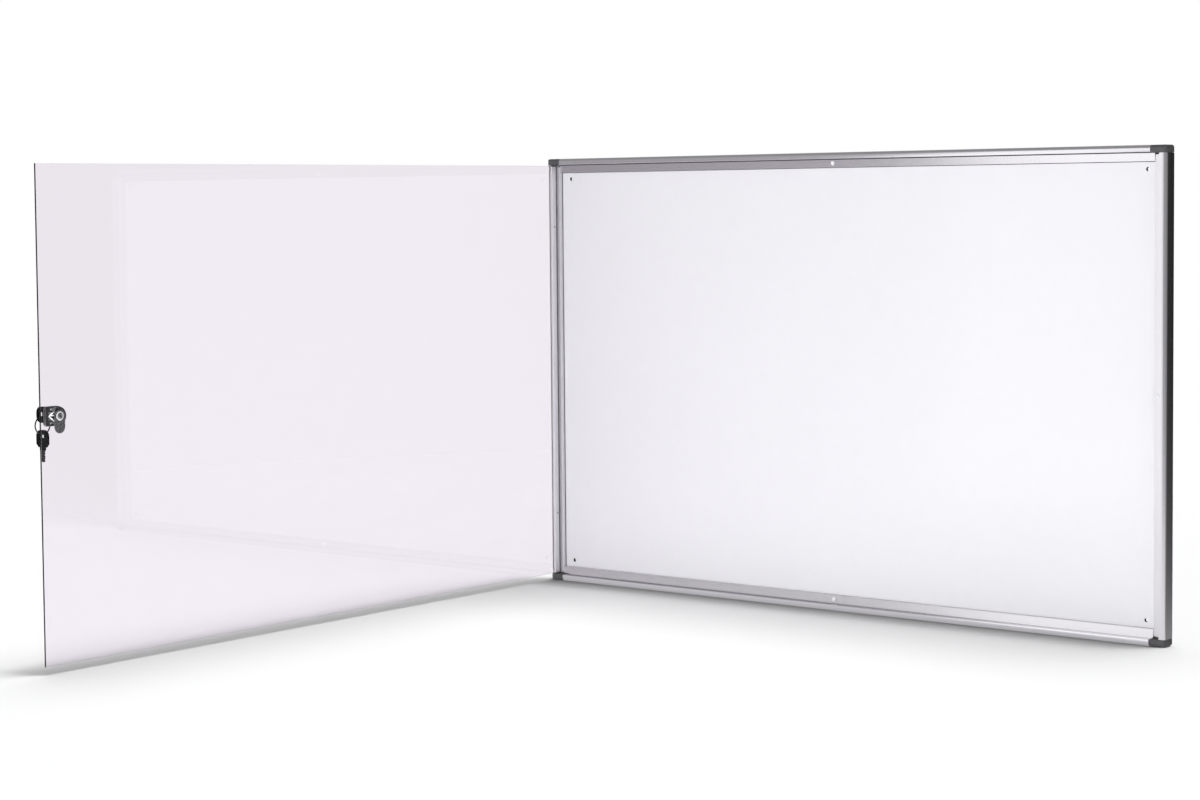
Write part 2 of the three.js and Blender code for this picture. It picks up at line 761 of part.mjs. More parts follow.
function key_bow(lift, shift) {
  const half = bow_width / 2;
  const low = lift - bow_length;
  const edge = [
    ...arc(half - bow_corner_radius, lift - bow_corner_radius, bow_corner_radius, 0, 90),
    ...arc(-half + bow_corner_radius, lift - bow_corner_radius, bow_corner_radius, 90, 180),
    [-half, low + bow_shoulder],
    [-bow_waist / 2, low],
    [bow_waist / 2, low],
    [half, low + bow_shoulder],
  ];
  const slot_top = lift - bow_slot_inset;
  const slot = rounded(-bow_slot_width / 2, slot_top - bow_slot_length,
    bow_slot_width / 2, slot_top, bow_slot_corner);
  const plate = prism(outline(edge, [slot]), 'y', -bow_thickness / 2, bow_thickness / 2);
  const collar = box([-collar_width / 2, -bow_thickness / 2, low - collar_length],
    [collar_width / 2, bow_thickness / 2, low + overrun]);
  const blade_seat = box([-blade_width / 2 - slip_gap, -blade_thickness / 2 - slip_gap,
    low - collar_length - overrun],
  [blade_width / 2 + slip_gap, blade_thickness / 2 + slip_gap, low - slip_gap]);
  return plate.add(collar).subtract(blade_seat).translate([shift, 0, 0]);
}

// The blade has a pointed tip, a groove down each side and cuts along one edge.
function key_blade(lift, shift) {
  const root = lift - bow_length - slip_gap - sheet_gap;
  const tip = root - collar_length - blade_length;
  const half = blade_width / 2;
  const pitch = blade_length / (blade_cuts + 1);
  const cut_edge = [];
  for (let i = 0; i < blade_cuts; i += 1) {
    const middle = root - collar_length - pitch * (i + 1);
    const depth = blade_cut_depth * (i % 2 ? 1 : 2 / 3);
    cut_edge.push([half, middle + pitch / 2], [half - depth, middle + pitch / 6],
      [half - depth, middle - pitch / 6]);
  }
  const edge = [
    [half, root],
    ...cut_edge,
    [half, tip + pitch / 2],
    [half / 3, tip],
    [-half / 3, tip],
    [-half, tip + pitch / 2],
    [-half, root],
  ];
  const groove_depth = blade_thickness / 4;
  let blade = prism(outline(edge), 'y', -blade_thickness / 2, blade_thickness / 2);
  for (const side of [-1, 1]) {
    const face = side * blade_thickness / 2;
    blade = blade.subtract(box([-half / 2, face - groove_depth, tip - overrun],
      [-half / 6, face + groove_depth, root - collar_length]));
  }
  return blade.translate([shift, 0, 0]);
}

// The key in the lock has its plate upright and its blade along y. The ring's wire lies
// low in the slot, at the end nearest the blade.
const ring_depth = collar_face - collar_length - bow_length + pushed_lift;
const ring_top = mid_height - sideways_play;
function in_lock(body) {
  return body.rotate([90, 0, 0]).rotate([0, 90, 0]).translate([lock_x, ring_depth, ring_top]);
}
add_to_door('key_bow', in_lock(key_bow(pushed_lift, -sideways_play)), black_plastic);
add_to_door('key_blade', in_lock(key_blade(pushed_lift, -sideways_play)), steel);

// The ring hangs through the slot, its plane parallel to the pane.
const ring_centre = ring_top - ring_radius;
function key_ring() {
  const half_section = arc(ring_radius, 0, ring_wire_radius, 0, 360, small_steps / 2);
  return turned(half_section, lock_x, ring_depth, ring_centre);
}
add_to_door('key_ring', key_ring(), steel);

// The spare key hangs from the bottom of the ring, its plate turned across the ring.
function on_ring(body) {
  return body.rotate([0, 0, 90]).translate([lock_x, ring_depth, ring_centre - ring_radius]);
}
add_to_door('spare_key_bow', on_ring(key_bow(hanging_lift, 0)), black_plastic);
add_to_door('spare_key_blade', on_ring(key_blade(hanging_lift, 0)), steel);

export default notice_board;
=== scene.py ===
"""Lockable wall notice board with its clear door swung open, on a pale floor.

The board's frame is aluminium with dark plastic corner caps round a white enamelled panel.
The frameless clear door hangs on a turning hinge profile and carries a cam lock with two keys.
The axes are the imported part's: the origin is the middle of the rear face, +Y goes into the wall
and +Z is up. Pieces are worked out in millimetres, and lamps and camera in metres.
"""
import json
import math

import bmesh
import bpy
import numpy as np
from mathutils import Matrix, Vector


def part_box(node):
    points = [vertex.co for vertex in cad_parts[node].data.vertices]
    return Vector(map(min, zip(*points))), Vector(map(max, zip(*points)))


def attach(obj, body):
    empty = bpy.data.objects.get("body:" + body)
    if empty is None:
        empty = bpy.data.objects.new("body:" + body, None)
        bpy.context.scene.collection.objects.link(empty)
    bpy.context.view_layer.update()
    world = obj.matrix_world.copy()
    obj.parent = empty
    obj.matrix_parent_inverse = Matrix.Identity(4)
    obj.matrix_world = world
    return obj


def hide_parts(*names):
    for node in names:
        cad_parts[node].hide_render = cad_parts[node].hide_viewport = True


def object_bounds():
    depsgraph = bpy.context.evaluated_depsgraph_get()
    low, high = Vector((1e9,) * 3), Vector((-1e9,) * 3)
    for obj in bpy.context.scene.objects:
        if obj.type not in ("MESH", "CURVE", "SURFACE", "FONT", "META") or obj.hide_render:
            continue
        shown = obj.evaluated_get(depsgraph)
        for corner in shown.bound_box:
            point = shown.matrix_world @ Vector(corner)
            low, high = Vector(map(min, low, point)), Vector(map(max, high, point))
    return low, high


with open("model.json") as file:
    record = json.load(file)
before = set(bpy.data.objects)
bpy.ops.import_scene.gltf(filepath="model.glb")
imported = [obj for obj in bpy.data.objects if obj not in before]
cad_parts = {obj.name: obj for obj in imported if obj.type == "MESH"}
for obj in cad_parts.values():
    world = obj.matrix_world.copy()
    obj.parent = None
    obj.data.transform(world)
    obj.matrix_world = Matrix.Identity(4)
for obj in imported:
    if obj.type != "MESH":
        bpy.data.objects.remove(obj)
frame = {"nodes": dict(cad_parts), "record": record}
nodes = frame["nodes"]
cad_box = [list(map(float, corner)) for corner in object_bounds()]
MM = 0.001


def box_mm(node):
    """The lowest and highest corners of a node at rest."""
    return [np.array(corner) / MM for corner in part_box(node)]


def middle(node):
    """The middle of a node's box."""
    low, high = box_mm(node)
    return (low + high) / 2


def placed(name, data):
    """A new object in the scene that holds the given mesh, light or camera."""
    made = bpy.data.objects.new(name, data)
    bpy.context.scene.collection.objects.link(made)
    return made


# Meshes from arrays

CREASE = math.radians(35)
MERGE_DISTANCE = 1e-6


def shaded_smooth(mesh):
    """Smooth shading on every face of a mesh."""
    mesh.polygons.foreach_set("use_smooth", [True] * len(mesh.polygons))


def mesh_object(name, points, faces):
    """An object whose vertices are points (n x 3, in metres) and whose faces are vertex numbers."""
    mesh = bpy.data.meshes.new(name)
    mesh.from_pydata(points.tolist(), [], [list(map(int, face)) for face in faces])
    shaded_smooth(mesh)
    mesh.update()
    return placed(name, mesh)


def grid_faces(rows, columns, around_rows):
    """Quads between neighbours of a grid whose rows are rings. The rows join round too if asked."""
    row_steps = rows if around_rows else rows - 1
    i, j = (a.ravel() for a in np.meshgrid(np.arange(row_steps), np.arange(columns), indexing="ij"))
    i2, j2 = (i + 1) % rows, (j + 1) % columns
    return np.stack([i * columns + j, i2 * columns + j, i2 * columns + j2, i * columns + j2], axis=1)


def merged_outward(mesh):
    """Merges doubles, drops faces without area and turns the rest outward."""
    bm = bmesh.new()
    bm.from_mesh(mesh)
    bmesh.ops.remove_doubles(bm, verts=bm.verts, dist=MERGE_DISTANCE)
    bmesh.ops.dissolve_degenerate(bm, dist=MERGE_DISTANCE / 10, edges=bm.edges)
    bmesh.ops.recalc_face_normals(bm, faces=bm.faces)
    bm.to_mesh(mesh)
    bm.free()


def grid_piece(name, points, around_rows=False, capped=False):
    """A closed piece from a rows x columns x 3 grid of points in millimetres.

    Each row is a ring of points. The rows join round too if asked, and where capped, a face
    closes the first and the last row, as at the two ends of a wire.
    """
    rows, columns = points.shape[:2]
    faces = [list(face) for face in grid_faces(rows, columns, around_rows)]
    if capped:
        faces += [[row * columns + j for j in range(columns)] for row in (0, rows - 1)]
    made = mesh_object(name, points.reshape(-1, 3) * MM, faces)
    merged_outward(made.data)
    made.data.set_sharp_from_angle(angle=CREASE)
    return made


def arc(middle_a, middle_b, radius, start, end, steps=8):
    """Points (a, b) of an arc, from the angle start to the angle end in degrees."""
    angle = np.radians(np.linspace(start, end, steps + 1))
    return list(zip(middle_a + radius * np.cos(angle), middle_b + radius * np.sin(angle)))


def spokes(axis, count):
    """Unit vectors round an axis: point(v) = cos v * side + sin v * lift."""
    axis = np.array(axis, float)
    side = np.cross(axis, (0.3, 0.5, 0.8))
    side /= np.linalg.norm(side)
    v = np.linspace(0, 2 * np.pi, count, endpoint=False)
    return np.outer(np.cos(v), side) + np.outer(np.sin(v), np.cross(axis, side)), v


def turned(name, outline, base, axis, steps=96, closed=True):
    """A turned piece: each (radius, height) of the outline goes round the axis.

    Point(u, v) = base + height(u) * axis + radius(u) * (cos v * side + sin v * lift).
    """
    radius, height = np.array(outline, float).T
    spoke, _ = spokes(axis, steps)
    points = base + height[:, None, None] * np.array(axis, float) + radius[:, None, None] * spoke
    return grid_piece(name, points, closed)


def softened(node, width):
    """A copy of a node with its doubles merged, flat faces joined and edges rounded."""
    made = placed(node + "_finish", nodes[node].data.copy())
    bm = bmesh.new()
    bm.from_mesh(made.data)
    bmesh.ops.remove_doubles(bm, verts=bm.verts, dist=2 * MERGE_DISTANCE)
    flat_angle = math.radians(0.6)
    bmesh.ops.dissolve_limit(bm, angle_limit=flat_angle, verts=bm.verts, edges=bm.edges)
    bm.to_mesh(made.data)
    bm.free()
    shaded_smooth(made.data)
    made.data.set_sharp_from_angle(angle=CREASE)
    bevel = made.modifiers.new("edges", "BEVEL")
    bevel.width = width * MM
    bevel.segments = 2
    bevel.limit_method = "ANGLE"
    bevel.angle_limit = CREASE
    bevel.harden_normals = True
    return made


# Shared effects of the materials


def new_group(name, numbers, outputs):
    """A shader node group that reads a vector and numbers (label, usual value) and gives numbers.

    Gives the group's tree and its two end nodes.
    """
    tree = bpy.data.node_groups.new(name, "ShaderNodeTree")
    tree.interface.new_socket("Vector", in_out="INPUT", socket_type="NodeSocketVector")
    for label, value in numbers:
        socket = tree.interface.new_socket(label, in_out="INPUT", socket_type="NodeSocketFloat")
        socket.default_value = value
    for label in outputs:
        tree.interface.new_socket(label, in_out="OUTPUT", socket_type="NodeSocketFloat")
    return tree, tree.nodes.new("NodeGroupInput"), tree.nodes.new("NodeGroupOutput")


def group_node(tree, group, vector):
    """A group placed in a tree, reading a vector."""
    node = tree.nodes.new("ShaderNodeGroup")
    node.node_tree = group
    tree.links.new(vector, node.inputs["Vector"])
    return node


def feed(tree, socket, value):
    """Sets a socket to a number, or links it to another socket."""
    if isinstance(value, (int, float)):
        socket.default_value = value
    else:
        tree.links.new(value, socket)


def math_node(tree, operation, *values):
    """A Math node: each value is a number or a socket. Gives its result socket."""
    node = tree.nodes.new("ShaderNodeMath")
    node.operation = operation
    for socket, value in zip(node.inputs, values):
        feed(tree, socket, value)
    return node.outputs[0]


def vector_node(tree, operation, vector, constant=None):
    """A Vector Math node on a vector socket and, where given, a constant vector."""
    node = tree.nodes.new("ShaderNodeVectorMath")
    node.operation = operation
    tree.links.new(vector, node.inputs[0])
    if constant is not None:
        node.inputs[1].default_value = constant
    return node


def object_place(tree):
    """The socket that gives a point's place in the object's own frame."""
    return tree.nodes.new("ShaderNodeTexCoord").outputs["Object"]


def noise(tree, vector, scale, detail, distortion=0.0):
    """A noise texture on a vector socket. Its scale is a number or a socket."""
    node = tree.nodes.new("ShaderNodeTexNoise")
    node.inputs["Detail"].default_value = detail
    node.inputs["Distortion"].default_value = distortion
    tree.links.new(vector, node.inputs["Vector"])
    feed(tree, node.inputs["Scale"], scale)
    return node.outputs["Fac"]


def smooth_range(tree, value, start, end, low=0.0, high=1.0):
    """A smooth step of a socket from low at start to high at end."""
    node = tree.nodes.new("ShaderNodeMapRange")
    node.interpolation_type = "SMOOTHSTEP"
    tree.links.new(value, node.inputs["Value"])
    for label, number in (("From Min", start), ("From Max", end), ("To Min", low), ("To Max", high)):
        node.inputs[label].default_value = number
    return node.outputs["Result"]


def mixed_value(tree, factor, without, with_factor):
    """A Mix node of two values, each a number or a socket."""
    node = tree.nodes.new("ShaderNodeMix")
    node.data_type = "FLOAT"
    for label, value in (("Factor", factor), ("A", without), ("B", with_factor)):
        feed(tree, node.inputs[label], value)
    return node.outputs["Result"]


SURFACE_NUMBERS = (("Pattern Scale", 1000.0), ("Base Roughness", 0.35), ("Spread", 0.1))
SURFACE_OUTPUTS = ("Roughness", "Height", "Tone")
HANDLED_SHARE = 0.2


def handling_marks_group():
    """Faint wiped smears, as a mask: broad clouds broken up by drawn-out streaks."""
    tree, start, end = new_group("handling marks", (), ["Mask"])
    clouds = noise(tree, start.outputs["Vector"], 9.0, 3, distortion=1.2)
    streaks = noise(tree, start.outputs["Vector"], 55.0, 4, distortion=2.5)
    broken = math_node(tree, "MULTIPLY", clouds, streaks)
    tree.links.new(smooth_range(tree, broken, 0.22, 0.42), end.inputs["Mask"])
    return tree


HANDLING_MARKS = handling_marks_group()


def surface_group(name, pattern):
    """A group that turns a pattern, made by the given function, into roughness, height and tone.

    Roughness = base + spread * (pattern - 0.5 + a share of the handling marks).
    """
    tree, start, end = new_group(name, SURFACE_NUMBERS, SURFACE_OUTPUTS)
    fine, tone = pattern(tree, start.outputs["Vector"], start.outputs["Pattern Scale"])
    marks = group_node(tree, HANDLING_MARKS, object_place(tree))
    centred = math_node(tree, "SUBTRACT", fine, 0.5)
    spread = math_node(tree, "MULTIPLY", centred, start.outputs["Spread"])
    rough = math_node(tree, "ADD", spread, start.outputs["Base Roughness"])
    handled = math_node(tree, "MULTIPLY", marks.outputs["Mask"], start.outputs["Spread"])
    rough = math_node(tree, "MULTIPLY_ADD", handled, HANDLED_SHARE, rough)
    tree.links.new(rough, end.inputs["Roughness"])
    tree.links.new(fine, end.inputs["Height"])
    tree.links.new(tone, end.inputs["Tone"])
    return tree


def die_lines(tree, vector, scale):
    """Fine lines left by the die: a Mapping node has squeezed the noise along the profile."""
    lines = noise(tree, vector, scale, 3)
    return lines, mixed_value(tree, 0.5, lines, noise(tree, vector, 14.0, 2))


def moulded_grain(tree, vector, scale):
    """Moulded, cast or sprayed grain under a broad, soft change of tone."""
    return noise(tree, vector, scale, 2), noise(tree, vector, 60.0, 3)


def zinc_spangle(tree, vector, scale):
    """Crystals of hot-dip zinc: each cell of a Voronoi texture has a tone of its own."""
    cells = tree.nodes.new("ShaderNodeTexVoronoi")
    tree.links.new(vector, cells.inputs["Vector"])
    tree.links.new(scale, cells.inputs["Scale"])
    parts = tree.nodes.new("ShaderNodeSeparateColor")
    tree.links.new(cells.outputs["Color"], parts.inputs["Color"])
    clouded = mixed_value(tree, 0.35, parts.outputs["Green"], noise(tree, vector, 12.0, 3))
    return parts.outputs["Red"], clouded


def pressed_fibres(tree, vector, scale):
    """Short matted fibres of pressed board."""
    fibres = noise(tree, vector, scale, 5, distortion=3.0)
    return fibres, mixed_value(tree, 0.5, fibres, noise(tree, vector, 200.0, 3))


DIE_LINES = surface_group("die lines", die_lines)
MOULDED_GRAIN = surface_group("moulded grain", moulded_grain)
ZINC_SPANGLE = surface_group("zinc spangle", zinc_spangle)
PRESSED_FIBRES = surface_group("pressed fibres", pressed_fibres)


def new_material(name, **shader):
    """A material, its node tree and its Principled BSDF, whose own sockets shader sets."""
    material = bpy.data.materials.new(name)
    material.use_nodes = True
    principled = material.node_tree.nodes["Principled BSDF"]
    for label, value in shader.items():
        principled.inputs[label.replace("_", " ")].default_value = value
    return material, material.node_tree, principled


def add_bump(tree, principled, height, strength, depth):
    """A bump on the surface from a height socket. Its depth is in millimetres."""
    relief = tree.nodes.new("ShaderNodeBump")
    relief.inputs["Strength"].default_value = strength
    relief.inputs["Distance"].default_value = depth * MM
    tree.links.new(height, relief.inputs["Height"])
    tree.links.new(relief.outputs["Normal"], principled.inputs["Normal"])


def surfaced(name, group, dark, light, scale, roughness, spread, stretch=(1, 1, 1), bump=0.1,
             bump_depth=0.02, **shader):
    """A material whose colour runs from dark to light with the group's tone.

    Its roughness and bump come from the group too. The bump's depth is in millimetres.
    """
    material, tree, principled = new_material(name, **shader)
    mapping = tree.nodes.new("ShaderNodeMapping")
    mapping.inputs["Scale"].default_value = stretch
    tree.links.new(object_place(tree), mapping.inputs["Vector"])
    effect = group_node(tree, group, mapping.outputs["Vector"])
    for (label, _), value in zip(SURFACE_NUMBERS, (scale, roughness, spread)):
        effect.inputs[label].default_value = value
    ramp = tree.nodes.new("ShaderNodeMix")
    ramp.data_type = "RGBA"
    ramp.inputs["A"].default_value = (*dark, 1)
    ramp.inputs["B"].default_value = (*light, 1)
    tree.links.new(effect.outputs["Tone"], ramp.inputs["Factor"])
    tree.links.new(ramp.outputs["Result"], principled.inputs["Base Color"])
    tree.links.new(effect.outputs["Roughness"], principled.inputs["Roughness"])
    add_bump(tree, principled, effect.outputs["Height"], bump, bump_depth)
    return material


def aluminium(name, stretch, roughness, metallic):
    """Satin anodised extrusion with its die lines along the squeezed direction."""
    return surfaced(name, DIE_LINES, (0.785, 0.768, 0.81), (0.845, 0.827, 0.87), 1500.0, roughness, 0.06,
                    stretch, bump=0.02, bump_depth=0.01, Metallic=metallic)


def clear_sheet(name, tint):
    """Polished clear plastic: light goes through, with faint waves and wiped smears."""
    smear_roughness, wave_scale, wave_strength, wave_depth = 0.012, 3.0, 0.05, 0.5
    material, tree, principled = new_material(
        name, Base_Color=(*tint, 1), IOR=1.49, Transmission_Weight=1.0, Specular_IOR_Level=0.05)
    place = object_place(tree)
    smears = group_node(tree, HANDLING_MARKS, place).outputs["Mask"]
    tree.links.new(math_node(tree, "MULTIPLY", smears, smear_roughness), principled.inputs["Roughness"])
    add_bump(tree, principled, noise(tree, place, wave_scale, 1), wave_strength, wave_depth)
    return material


# Materials

ALUMINIUM_ACROSS = aluminium("anodised rails", (0.0008, 1, 1), 0.24, 1.0)
ALUMINIUM_UPRIGHT = aluminium("anodised stiles", (1, 1, 0.0008), 0.24, 1.0)
ALUMINIUM_HINGE = aluminium("anodised hinge side", (1, 1, 0.0008), 0.4, 0.6)
ENAMEL = surfaced(
    "white enamel", MOULDED_GRAIN, (0.83, 0.823, 0.862), (0.85, 0.843, 0.882), 700.0, 0.16, 0.05,
    bump=0.04, Specular_IOR_Level=0.3, Coat_Weight=0.15, Coat_Roughness=0.08)
GREY_PLASTIC = surfaced(
    "grey cap plastic", MOULDED_GRAIN, (0.075, 0.073, 0.078), (0.105, 0.102, 0.108),
    2600.0, 0.5, 0.12, bump=0.35, Specular_IOR_Level=0.3)
BLACK_PLASTIC = surfaced(
    "black key plastic", MOULDED_GRAIN, (0.003, 0.003, 0.0033), (0.007, 0.007, 0.0075),
    2200.0, 0.4, 0.12, bump=0.2, Specular_IOR_Level=0.0)
SATIN_CHROME = surfaced(
    "satin chrome", MOULDED_GRAIN, (0.22, 0.22, 0.23), (0.42, 0.415, 0.43),
    1500.0, 0.1, 0.1, bump=0.1, Metallic=1.0)
CAM_STEEL = surfaced(
    "cam steel", MOULDED_GRAIN, (0.22, 0.217, 0.223), (0.32, 0.315, 0.325),
    1300.0, 0.26, 0.16, bump=0.2, Metallic=1.0)
DARK_STEEL = surfaced(
    "dark key steel", MOULDED_GRAIN, (0.05, 0.05, 0.053), (0.13, 0.128, 0.134),
    1400.0, 0.24, 0.14, bump=0.15, Metallic=1.0)
BLACK_CHROME = surfaced(
    "black chrome", MOULDED_GRAIN, (0.012, 0.012, 0.013), (0.035, 0.034, 0.037),
    1500.0, 0.16, 0.1, bump=0.1, Metallic=1.0)
BRIGHT_STEEL = surfaced(
    "bright steel", MOULDED_GRAIN, (0.6, 0.6, 0.61), (0.76, 0.76, 0.77),
    1800.0, 0.16, 0.1, bump=0.1, Metallic=1.0)
POLISHED_RIM = surfaced(
    "polished rim", MOULDED_GRAIN, (0.94, 0.94, 0.95), (0.97, 0.97, 0.98),
    1800.0, 0.2, 0.08, bump=0.08, Metallic=0.5)
ZINC = surfaced(
    "zinc sheet", ZINC_SPANGLE, (0.36, 0.37, 0.38), (0.56, 0.57, 0.58),
    110.0, 0.36, 0.22, bump=0.05, Metallic=1.0)
# Fibre grain over a near-black colour: the board's own fibres, darkened as painted shade so that the
# fixing holes through it read black.
CORE_WITH_HOLE_SHADE = surfaced(
    "hard fibre board darkened for hole shade", PRESSED_FIBRES, (0.003, 0.0025, 0.002), (0.01, 0.008, 0.006),
    1200.0, 0.9, 0.1, bump=0.5, Specular_IOR_Level=0.1)
RUBBER = surfaced(
    "black rubber", MOULDED_GRAIN, (0.006, 0.006, 0.0065), (0.014, 0.014, 0.015),
    1800.0, 0.7, 0.1, bump=0.3)
GASKET = surfaced(
    "pale gasket", MOULDED_GRAIN, (0.5, 0.5, 0.51), (0.58, 0.58, 0.59),
    1800.0, 0.5, 0.1, bump=0.3)
# A dark material for the beads that stand for shadow lines in the frame's corners: painted shade.
SHADOW_LINE = surfaced(
    "dark bead for painted shadow lines", MOULDED_GRAIN, (0.02, 0.02, 0.022), (0.04, 0.04, 0.043),
    1800.0, 0.65, 0.1, bump=0.3)
ACRYLIC = clear_sheet("clear acrylic", (0.9, 0.853, 0.913))
CLEAR_RUBBER = surfaced(
    "clear rubber", MOULDED_GRAIN, (0.88, 0.88, 0.89), (0.94, 0.94, 0.95), 900.0, 0.12, 0.06,
    bump=0.05, Transmission_Weight=0.1, IOR=1.41)

FINISHES = {
    "display_panel": ENAMEL, "core_board": CORE_WITH_HOLE_SHADE, "rear_sheet": ZINC,
    "top_rail": ALUMINIUM_ACROSS, "bottom_rail": ALUMINIUM_ACROSS,
    "lock_stile": ALUMINIUM_UPRIGHT, "hinge_stile": ALUMINIUM_HINGE,
    "hinge_profile": ALUMINIUM_HINGE,
    "cap_bottom_left": GREY_PLASTIC, "cap_top_left": GREY_PLASTIC,
    "cap_bottom_right": GREY_PLASTIC, "cap_top_right": GREY_PLASTIC,
    "hinge_bush_bottom": BLACK_PLASTIC, "hinge_bush_top": BLACK_PLASTIC,
    "hinge_plug_bottom": BLACK_PLASTIC, "hinge_plug_top": BLACK_PLASTIC,
    "bumper_top": CLEAR_RUBBER, "bumper_bottom": CLEAR_RUBBER, "bumper_lock_side": CLEAR_RUBBER,
    "door_pane": ACRYLIC, "pane_gasket": GASKET,
    "jaw_screw_1": BRIGHT_STEEL, "jaw_screw_2": BRIGHT_STEEL,
    "lock_body": BLACK_CHROME, "lock_block": SATIN_CHROME,
    "clamp_screw_1": BRIGHT_STEEL, "clamp_screw_2": BRIGHT_STEEL,
    "lock_pad_outer": RUBBER, "lock_pad_inner": RUBBER,
    "lock_cylinder": BRIGHT_STEEL, "lock_cam": CAM_STEEL, "cam_washer": POLISHED_RIM,
    "cam_screw": SATIN_CHROME, "key_bow": BLACK_PLASTIC, "key_blade": DARK_STEEL,
    "key_ring": DARK_STEEL, "spare_key_bow": BLACK_PLASTIC, "spare_key_blade": DARK_STEEL,
}
for name, material in FINISHES.items():
    nodes[name].data.materials.clear()
    nodes[name].data.materials.append(material)

BODY_OF = {node: body for body, listed in frame["record"]["behaviour"]["bodies"].items()
           for node in listed}


def goes_with(made, node, material):
    """The new piece rides on the node's body and takes the given material."""
    made.data.materials.clear()
    made.data.materials.append(material)
    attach(made, BODY_OF[node])


def stands_for(made, node):
    """The new piece takes the node's place, body and material, and the node is hidden."""
    goes_with(made, node, FINISHES[node])
    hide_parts(node)


# Pieces with rounded edges

EDGE_WIDTHS = {
    "top_rail": 0.35, "bottom_rail": 0.35, "lock_stile": 0.35, "hinge_stile": 0.3,
    "hinge_profile": 0.3, "door_pane": 0.25, "display_panel": 0.15,
    "cap_bottom_left": 0.9, "cap_top_left": 0.9, "cap_bottom_right": 0.9, "cap_top_right": 0.9,
    "hinge_plug_bottom": 0.3, "hinge_plug_top": 0.3, "lock_block": 0.8, "lock_cam": 0.35,
    "lock_cylinder": 0.25, "key_bow": 0.5, "spare_key_bow": 0.6,
    "key_blade": 0.15, "spare_key_blade": 0.15, "pane_gasket": 0.15,
}
for name, width in EDGE_WIDTHS.items():
    stands_for(softened(name, width), name)

# Bumpers


def bumper(node, lean):
    """A soft dome: radius(t) = R cos(t)^0.5 and height(t) = H sin(t)^0.9 for t from 0 to 90 degrees.

    It leans with its ledge, so its axis is -Y tipped by the ledge's fall along lean.
    """
    radius, height, undercut, fall_per_width = 3.5, 1.5, 0.15, 1.2 / 13
    axis = np.array([0, -1.0, 0]) + fall_per_width * np.array(lean)
    axis /= np.linalg.norm(axis)
    base = middle(node)
    base[1] = box_mm(node)[1][1] - radius * fall_per_width
    t = np.linspace(0, np.pi / 2, 15)
    dome = np.stack([radius * np.cos(t).clip(0) ** 0.5, height * np.sin(t) ** 0.9], axis=1)
    dome[-1, 0] = 0
    outline = [(0, 0), (radius - undercut, 0), *dome.tolist()]
    stands_for(turned(node + "_dome", outline, base, axis, 64, closed=False), node)


bumper("bumper_bottom", (0, 0, 1))
bumper("bumper_top", (0, 0, -1))
bumper("bumper_lock_side", (-1, 0, 0))

# Dark beads in the frame's corners, as painted shadow lines


def corner_shadow_bead(name, corners, reaches, face, rise, closed=False):
    """A dark quarter-round bead carried along a path of mitred corners, in a corner of the frame: a
    painted shadow line where the corner falls into shade.

    A profile point (inward a, forward b) lies at (cx - rx a, face - b, cz - rz a) for the corner
    (cx, cz) of the path with the reaches (rx, rz), where a = sin t and b = rise cos t.
    """
    corners, reaches = np.array(corners, float), np.array(reaches, float)
    t = np.linspace(0, np.pi / 2, 7)
    inward, forward = np.append(np.sin(t), 0), np.append(rise * np.cos(t), 0)
    x, z = (corners[:, None, k] - reaches[:, None, k] * inward for k in (0, 1))
    points = np.stack([x, np.broadcast_to(face - forward, x.shape), z], axis=2)
    goes_with(grid_piece(name, points, closed, not closed), "display_panel", SHADOW_LINE)


def frame_shadow_beads():
    """Painted shadow lines: a dark bead between lip and panel all round, and one at the foot of the
    front bars.
    """
    bottom, top, stile = box_mm("bottom_rail"), box_mm("top_rail"), box_mm("lock_stile")
    left, right, low, high = box_mm("hinge_stile")[1][0], stile[0][0], bottom[1][2], top[0][2]
    corner_shadow_bead("panel_shadow_bead", [(left, low), (right, low), (right, high), (left, high)],
                [(-0.9, -0.1), (0.5, -0.1), (0.5, 0.85), (-0.9, 0.85)],
                box_mm("display_panel")[0][1], 0.5, closed=True)
    bar_width, ledge_face = 9.6, -12.45
    left, right = bottom[0][0], stile[1][0] - bar_width
    low, high = bottom[0][2] + bar_width, top[1][2] - bar_width
    corner_shadow_bead("bar_foot_shadow_bead", [(left, low), (right, low), (right, high), (left, high)],
                [(0, -0.2), (0.7, -0.2), (0.7, 1.5), (0, 1.5)], ledge_face, 0.6)


def jaw_shadow_strip():
    """A thin black half-round strip in the XY plane down the outer jaw of the hinge profile: a painted
    shadow line for the gap between profile and stile.
    """
    low, high = box_mm("hinge_profile")
    sunk, rise, inset, half_width = 0.3, 0.5, 2.9, 0.9
    t = np.linspace(0, np.pi, 9)
    across, along = high[0] - sunk + rise * np.sin(t), high[1] - inset + half_width * np.cos(t)
    points = np.array([[(x, y, z) for x, y in zip(across, along)] for z in (low[2], high[2])])
    goes_with(grid_piece("jaw_shadow_strip", points, capped=True), "hinge_profile", RUBBER)


frame_shadow_beads()
jaw_shadow_strip()

# Lock


def turned_on_lock(node, centre, outline):
    """A piece turned about the X axis through a centre, from the node's low end, in its place."""
    base = (box_mm(node)[0][0], centre[1], centre[2])
    stands_for(turned(node + "_turned", outline, base, (1, 0, 0)), node)


def lock_body():
    """Bezel with a rolled rim and a shallow groove, and a barrel that ends in a bevelled ring."""
    low, high = box_mm("lock_body")
    length = high[0] - low[0]
    bore, rim, barrel, bezel_height = 6.7, 12.0, 9.25, 5.5
    outline = [
        (bore, 0.35), (bore + 0.35, 0), (9.0, 0), (9.2, 0.25), (9.7, 0.25), (9.9, 0),
        *arc(rim - 1.6, 1.6, 1.6, 270, 360), (rim, bezel_height - 0.3), (rim - 0.3, bezel_height),
        (barrel, bezel_height), (barrel, length - 0.4), (barrel - 0.4, length),
        (bore + 0.3, length), (bore, length - 0.3)]
    turned_on_lock("lock_body", middle("lock_cylinder"), outline)


